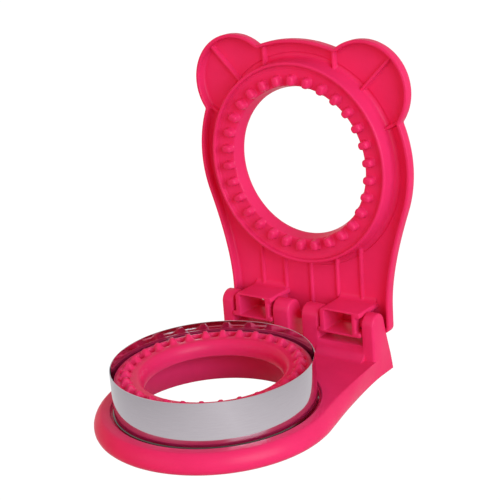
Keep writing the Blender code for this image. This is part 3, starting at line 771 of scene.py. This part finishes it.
def add_box(lid, x0, b0, b1, x1):
    """Box knuckle between x0 and x1 with its open bay from b0 to b1."""
    floor_y = -(FLOOR_Q + LIP_Q) + BOX_SUNK
    top, bottom = BOX_TOP - BOX_PLATE, BOX_LOW + BOX_PLATE
    w0, w1 = b0 - BOX_LEFT_WALL, b1 + BOX_RIGHT_WALL
    corners = [(w0, BOX_TOP), (x1, BOX_TOP), (x1, BOX_SLOT), (w1, BOX_SLOT), (w1, -BOX_SLOT),
               (x1, -BOX_SLOT), (x1, BOX_LOW), (x0, BOX_LOW), (x0, -BOX_SLOT), (w0, -BOX_SLOT)]
    stations = [(-BOX_FRONT + back, d) for back, d in BOX_EDGE] + [(floor_y, 0.0)]
    add(lid, upright("box", rounded(corners, BOX_CORNERS, CORNER_SEG), stations))
    lap_down, lap_up = BOX_COVE_LAP
    cove = [(floor_y, BOX_TOP - lap_down)]
    cove += [(floor_y - BOX_SUNK - BOX_COVE_LONG * (1 - math.sin(a)),
              BOX_TOP - lap_up + BOX_COVE_HIGH * (1 - math.cos(a))) for a in quarter(9)]
    cove.append((floor_y, BOX_TOP - lap_up + BOX_COVE_HIGH))
    add(lid, across("cove", cove, (w0 + BOX_COVE_ENDS[0], x1 - BOX_COVE_ENDS[1])))
    bay = rounded([(b0, top), (b1, top), (b1, bottom), (b0, bottom)], 4 * [BAY_CORNER], CORNER_SEG)
    stations = [(-BOX_FRONT + back, d) for back, d in BAY_EDGE] + [(floor_y - BOX_SUNK, 0.0)]
    take(lid, upright("bay", bay, stations))
    sill = SILL + SILL_RIGHT * (x0 > 0)
    s0, s1, lintel = b0 + SILL_IN, b1 - SILL_IN, top - SILL_IN
    slot = rounded([(s0, lintel), (s1, lintel), (s1, sill), (s0, sill)], 4 * [SILL_CORNER], CORNER_SEG)
    take(lid, loft("sill", [[(x, y, z) for x, z in slot] for y in SILL_DEPTH]))


def take_eyes(lid):
    """Eyes in the box walls for the ears' bosses."""
    for side in (1, -1):
        for edge, into, deep in ((EAR_INNER[1], 1, BOSS_INNER), (EAR_OUTER[0], -1, BOSS_OUTER)):
            xs = (side * (edge - into * BOSS_ROOT), side * (edge + into * (deep + GAP)))
            take(lid, loft("eye", [pivot_circle(x, BOSS_R + GAP) for x in xs]))


def rib(p0, p1, crest):
    dx, dy = p1[0] - p0[0], p1[1] - p0[1]
    size = math.hypot(dx, dy)
    nx, ny = -dy / size, dx / size
    rings = []
    for q, w in [(FLOOR_Q + up, w) for up, w in RIB_FOOT] + [(crest + up, w) for up, w in RIB_CREST]:
        rings.append([lid_point(px + side * nx * w, py + side * ny * w, q)
                      for (px, py), side in ((p0, 1), (p0, -1), (p1, -1), (p1, 1))])
    return loft("rib", rings)


def ribs():
    out = []
    for u in LONG_RIBS:
        s0 = -math.sqrt(LONG_RIB_R ** 2 - u * u)
        s1 = MIDDLE_RIB_END if u == 0 else BOX_TOP - PIVOT_Y + LONG_RIB_LAP
        for side in ((1,) if u == 0 else (1, -1)):
            out.append(rib((side * u, s0), (side * u, s1), RIB_Q))
    for side in (1, -1):
        for (u0, s0), (u1, s1) in HEAD_RIBS:
            out.append(rib((side * u0, s0), (side * u1, s1), HEAD_RIB_Q))
    return out


def peg(a):
    """Peg with a rounded top that presses the bread into a cup of the crimping ring."""
    q0, d0 = PEG_SIDE[-1]
    levels = list(PEG_SIDE)
    for b in (math.radians(step) for step in PEG_TOP_STEPS):
        levels.append((q0 + PEG_TOP_HIGH * math.sin(b), d0 + PEG_TOP_IN * (1 - math.cos(b))))
    c, s = math.cos(a), math.sin(a)
    rings = []
    for q, d in levels:
        flat = oval(PEG_R, 0.0, PEG_LONG - d, PEG_WIDE - d, PEG_SEG, PEG_POWER)
        rings.append([lid_point(r * c - t * s, r * s + t * c, q) for r, t in flat])
    return loft("bump", rings)


def build_lid(mat):
    lid = lid_shell()
    add_box(lid, BOX_NEAR, BOX_IN, BOX_OUT, BOX_FAR)
    add_box(lid, -BOX_FAR, -BOX_OUT, -BOX_IN, -BOX_NEAR)
    take_eyes(lid)
    collar = COLLAR_LIP + COLLAR_SIDE + COLLAR_PAD + COLLAR_NECK + COLLAR_FACE
    pegs = [peg(2 * math.pi * (k + 0.5) / TEETH) for k in range(TEETH)]
    lid = join("lid_moulding", [lid] + ribs() + [lid_round("collar", collar, COLLAR_SEG)] + pegs)
    lid.data.transform(Matrix.Translation((0, (PIVOT_Y + AXIS_Y) * MM, PIVOT_Z * MM))
                       @ Matrix.Rotation(-math.radians(TILT), 4, "X"))
    shade(lid, mat)
    return lid


# Node helpers
def nodes_of(name):
    mat = bpy.data.materials.new(name)
    mat.use_nodes = True
    tree = mat.node_tree
    return mat, tree, tree.nodes["Principled BSDF"]


def math_node(tree, operation, a, b=None):
    """Math node on numbers or sockets."""
    node = tree.nodes.new("ShaderNodeMath")
    node.operation = operation
    for i, value in enumerate((a, b)):
        if value is None:
            continue
        if isinstance(value, (int, float)):
            node.inputs[i].default_value = value
        else:
            tree.links.new(value, node.inputs[i])
    return node.outputs["Value"]


def blend(tree, factor, a, b):
    """Colour mixed from a to b, each a colour or a socket."""
    node = tree.nodes.new("ShaderNodeMix")
    node.data_type = "RGBA"
    for name, value in (("A", a), ("B", b)):
        if isinstance(value, tuple):
            node.inputs[name].default_value = value
        else:
            tree.links.new(value, node.inputs[name])
    tree.links.new(factor, node.inputs["Factor"])
    return node.outputs["Result"]


def noise(tree, coords, scale, detail, rough=0.5):
    node = tree.nodes.new("ShaderNodeTexNoise")
    node.inputs["Scale"].default_value = scale
    node.inputs["Detail"].default_value = detail
    node.inputs["Roughness"].default_value = rough
    tree.links.new(coords, node.inputs["Vector"])
    return node.outputs["Fac"]


def ramp(tree, value, low_value, high_value):
    """Spreads the middle of a noise over the range from low to high."""
    node = tree.nodes.new("ShaderNodeMapRange")
    node.inputs["From Min"].default_value = 0.3
    node.inputs["From Max"].default_value = 0.7
    node.inputs["To Min"].default_value = low_value
    node.inputs["To Max"].default_value = high_value
    tree.links.new(value, node.inputs["Value"])
    return node.outputs["Result"]


def fine_relief(tree, bsdf, height, strength):
    node = tree.nodes.new("ShaderNodeBump")
    node.inputs["Strength"].default_value = strength
    node.inputs["Distance"].default_value = TEXTURE_DEEP * MM
    tree.links.new(height, node.inputs["Height"])
    tree.links.new(node.outputs["Normal"], bsdf.inputs["Normal"])
    return node


def place_of(tree, kind):
    """X, Y and Z of a texture coordinate."""
    parts = tree.nodes.new("ShaderNodeSeparateXYZ")
    tree.links.new(tree.nodes.new("ShaderNodeTexCoord").outputs[kind], parts.inputs["Vector"])
    return parts.outputs


# Materials
def plastic(name, soft_edge):
    """Pink plastic; soft_edge is the radius in millimetres that its sharp edges seem to have."""
    mat, tree, bsdf = nodes_of(name)
    coords = tree.nodes.new("ShaderNodeTexCoord").outputs["Object"]
    pink = blend(tree, ramp(tree, noise(tree, coords, *PINK_NOISE), 0.0, 1.0), *PINK)
    tree.links.new(pink, bsdf.inputs["Base Color"])
    gloss = noise(tree, coords, *GLOSS_NOISE)
    tree.links.new(ramp(tree, gloss, *PLASTIC_ROUGHNESS), bsdf.inputs["Roughness"])
    bsdf.inputs["IOR"].default_value = PLASTIC_IOR
    bsdf.inputs["Specular IOR Level"].default_value = PLASTIC_SPECULAR
    grain = fine_relief(tree, bsdf, noise(tree, coords, *GRAIN_NOISE), GRAIN_STRENGTH)
    if soft_edge:
        bevel = tree.nodes.new("ShaderNodeBevel")
        bevel.samples = 6
        bevel.inputs["Radius"].default_value = soft_edge * MM
        tree.links.new(bevel.outputs["Normal"], grain.inputs["Normal"])
    return mat


def steel(name):
    """Polished steel with fine streaks along the strip, a weld seam and painted shade on its hem."""
    mat, tree, bsdf = nodes_of(name)
    place = place_of(tree, "Object")
    along = math_node(tree, "ARCTAN2", math_node(tree, "SUBTRACT", place["Y"], AXIS_Y * MM), place["X"])
    strip = tree.nodes.new("ShaderNodeCombineXYZ")
    tree.links.new(math_node(tree, "MULTIPLY", along, STREAK_AROUND), strip.inputs["X"])
    tree.links.new(math_node(tree, "MULTIPLY", place["Z"], STREAK_UP), strip.inputs["Y"])
    streaks = noise(tree, strip.outputs["Vector"], *STREAK_NOISE)
    bright = blend(tree, ramp(tree, streaks, 0.0, 1.0), *STEEL)
    # Painted shade: up to the hem's top the steel's colour is swapped for a dark one, standing in for the
    # dark slot the hem reflects
    in_hem_painted_shade = math_node(tree, "LESS_THAN", place["Z"], (BAND_FOOT + HEM_PAINTED_SHADE_HIGH) * MM)
    tree.links.new(blend(tree, in_hem_painted_shade, bright, HEM_PAINTED_SHADE), bsdf.inputs["Base Color"])
    bsdf.inputs["Metallic"].default_value = 1.0
    tree.links.new(ramp(tree, streaks, *STEEL_ROUGHNESS), bsdf.inputs["Roughness"])
    seam = math_node(tree, "ABSOLUTE", math_node(tree, "SUBTRACT", along, math.radians(SEAM_AT)))
    seam = math_node(tree, "LESS_THAN", seam, SEAM_HALF)
    height = math_node(tree, "SUBTRACT", math_node(tree, "MULTIPLY", streaks, STREAK_DEEP), seam)
    fine_relief(tree, bsdf, height, STEEL_STRENGTH)
    return mat


# Floor, light and camera
def floor():
    """Ground that is plain white for the camera, as in the photo, and a pale surface for the light.

    Reflections see it a little grey and fading to both sides, which gives the band its soft shading.
    """
    h = FLOOR_HALF / MM
    obj = make("floor", [(-h, -h, 0), (h, -h, 0), (h, h, 0), (-h, h, 0)], [(0, 1, 2, 3)])
    mat, tree, bsdf = nodes_of("pale_floor")
    bsdf.inputs["Base Color"].default_value = FLOOR_TINT
    bsdf.inputs["Roughness"].default_value = 1.0
    bsdf.inputs["Specular IOR Level"].default_value = 0.0
    place = place_of(tree, "Object")
    side = math_node(tree, "ADD", math_node(tree, "MULTIPLY", place["X"], FLOOR_ACROSS[0]),
                     math_node(tree, "MULTIPLY", place["Y"], FLOOR_ACROSS[1]))
    side = math_node(tree, "ABSOLUTE", math_node(tree, "SUBTRACT", side, FLOOR_MIDDLE))
    grey = math_node(tree, "SUBTRACT", FLOOR_GREY, math_node(tree, "MULTIPLY", side, FLOOR_GREY_FALL))
    grey = math_node(tree, "MAXIMUM", grey, FLOOR_GREY_LEAST)
    path = tree.nodes.new("ShaderNodeLightPath")
    glow = tree.nodes.new("ShaderNodeEmission")
    white = math_node(tree, "MULTIPLY", path.outputs["Is Camera Ray"], CAMERA_WHITE)
    tree.links.new(math_node(tree, "MAXIMUM", white, grey), glow.inputs["Strength"])
    mix = tree.nodes.new("ShaderNodeMixShader")
    seen = math_node(tree, "MAXIMUM", path.outputs["Is Camera Ray"], path.outputs["Is Glossy Ray"])
    tree.links.new(seen, mix.inputs["Fac"])
    tree.links.new(bsdf.outputs["BSDF"], mix.inputs[1])
    tree.links.new(glow.outputs["Emission"], mix.inputs[2])
    tree.links.new(mix.outputs["Shader"], tree.nodes["Material Output"].inputs["Surface"])
    obj.data.materials.append(mat)


def area(name, place, size, power):
    """Square lamp aimed at the middle of the object."""
    data = bpy.data.lights.new(name, "AREA")
    data.shape = "SQUARE"
    data.size = size
    data.energy = power
    data.color = LAMP_TINT
    obj = bpy.data.objects.new(name, data)
    bpy.context.scene.collection.objects.link(obj)
    obj.location = place
    obj.rotation_euler = (Vector(LAMP_AIM) - Vector(place)).to_track_quat("-Z", "Y").to_euler()


def world():
    """White for the camera, pale for reflections and a rosy fill for matt surfaces."""
    sky = bpy.data.worlds.new("studio")
    sky.use_nodes = True
    tree = sky.node_tree
    back = tree.nodes["Background"]
    path = tree.nodes.new("ShaderNodeLightPath")
    diffuse = path.outputs["Is Diffuse Ray"]
    tree.links.new(blend(tree, diffuse, (1, 1, 1, 1), FILL_TINT), back.inputs["Color"])
    node = tree.nodes.new("ShaderNodeMapRange")
    node.inputs["To Min"].default_value = SKY
    node.inputs["To Max"].default_value = CAMERA_WHITE
    tree.links.new(path.outputs["Is Camera Ray"], node.inputs["Value"])
    # The fill is weaker from straight above than from the sides
    height = math_node(tree, "MAXIMUM", place_of(tree, "Generated")["Z"], 0.0)
    above = math_node(tree, "MULTIPLY", height, diffuse)
    less = math_node(tree, "SUBTRACT", 1.0, math_node(tree, "MULTIPLY", above, FILL_LESS_ABOVE))
    tree.links.new(math_node(tree, "MULTIPLY", node.outputs["Result"], less), back.inputs["Strength"])
    bpy.context.scene.world = sky


def camera():
    data = bpy.data.cameras.new("camera")
    data.sensor_width = SENSOR
    data.lens = FOCAL_PX / PHOTO_PX * SENSOR
    data.clip_start, data.clip_end = 0.01, 20.0
    obj = bpy.data.objects.new("camera", data)
    bpy.context.scene.collection.objects.link(obj)
    az, el, roll = (math.radians(v) for v in CAMERA_TURN)
    forward = Vector((-math.sin(az) * math.cos(el), math.cos(az) * math.cos(el), -math.sin(el)))
    right = forward.cross(Vector((0, 0, 1))).normalized()
    up = right.cross(forward)
    side = right * math.cos(roll) + up * math.sin(roll)
    head = up * math.cos(roll) - right * math.sin(roll)
    turn = Matrix((side, head, -forward)).transposed().to_4x4()
    turn.translation = Vector((CAMERA_PLACE[0], CAMERA_PLACE[1] + AXIS_Y, CAMERA_PLACE[2])) * MM
    obj.matrix_world = turn
    bpy.context.scene.camera = obj


base = build_base(plastic("base_pink_plastic", EDGE_SOFT))
band = build_band(steel("band_steel"))
crimp = build_crimp(plastic("crimp_pink_plastic", 0.0))
lid = build_lid(plastic("lid_pink_plastic", EDGE_SOFT))
for piece, node, slot, body in ((base, "base", "base_plastic", "base"),
                                (band, "cutter_band", "cutter_band_steel", "base"),
                                (crimp, "crimp_ring", "crimp_ring_plastic", "base"),
                                (lid, "lid", "lid_plastic", "lid")):
    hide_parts(node)
    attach(piece, body)

floor()
world()
for lamp in LAMPS:
    area(*lamp)
camera()
bpy.context.scene.view_settings.view_transform = "Standard"
